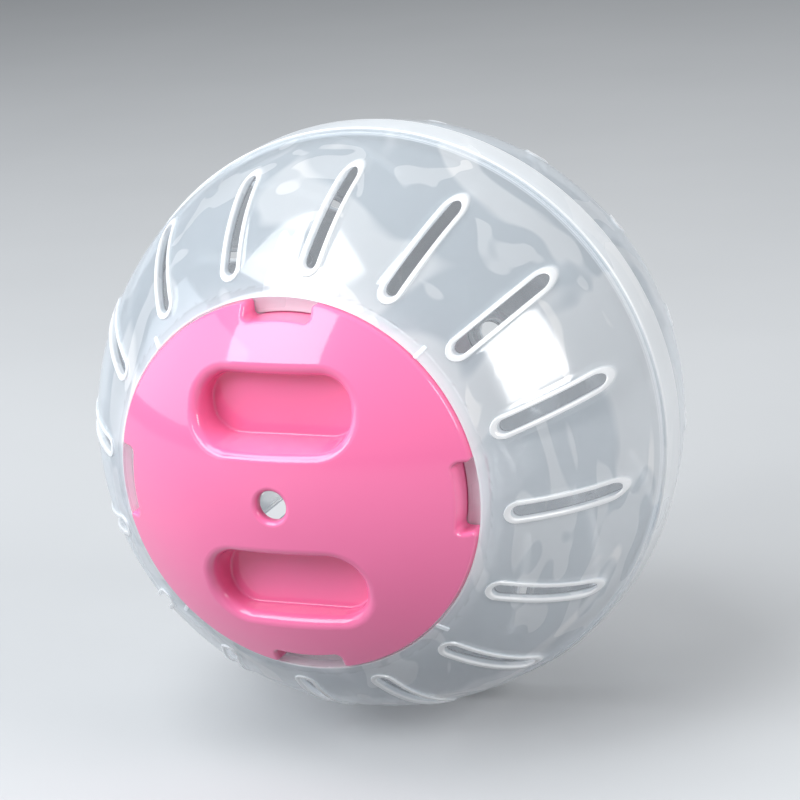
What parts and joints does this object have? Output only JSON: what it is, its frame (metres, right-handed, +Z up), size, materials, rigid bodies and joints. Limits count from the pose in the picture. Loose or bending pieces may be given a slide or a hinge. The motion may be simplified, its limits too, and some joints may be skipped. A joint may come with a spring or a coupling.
{
  "type": "hamster ball",
  "caption": "Hollow clear pet exercise ball of slotted half shells pushed together at a lap seam, with a pink twist-lock lid that has finger recesses and a centre hole.",
  "frame": {"origin": "centre of the ball", "axes": "-Y out through the middle of the lid, +Y out through the rear axle hole, +Z up"},
  "size_m": [0.121, 0.1198, 0.121],
  "materials": {
    "clear_shell": "clear polished polystyrene with a slight blue tint",
    "pink_lid": "opaque glossy pink"
  },
  "bodies": {
    "rear_half": {"rear_shell": "clear_shell"},
    "front_half": {"front_shell": "clear_shell"},
    "lid": {"lid": "pink_lid"}
  },
  "joints": [
    {"name": "seam_pull", "type": "slide", "parent": "rear_half", "child": "front_half", "axis": [0, -1, 0], "range_m": [0, 0.08]},
    {"name": "lid_twist", "type": "hinge", "parent": "front_half", "child": "lid", "pos_m": [0, 0, 0], "axis": [0, -1, 0], "range_deg": [0, 45]}
  ]
}
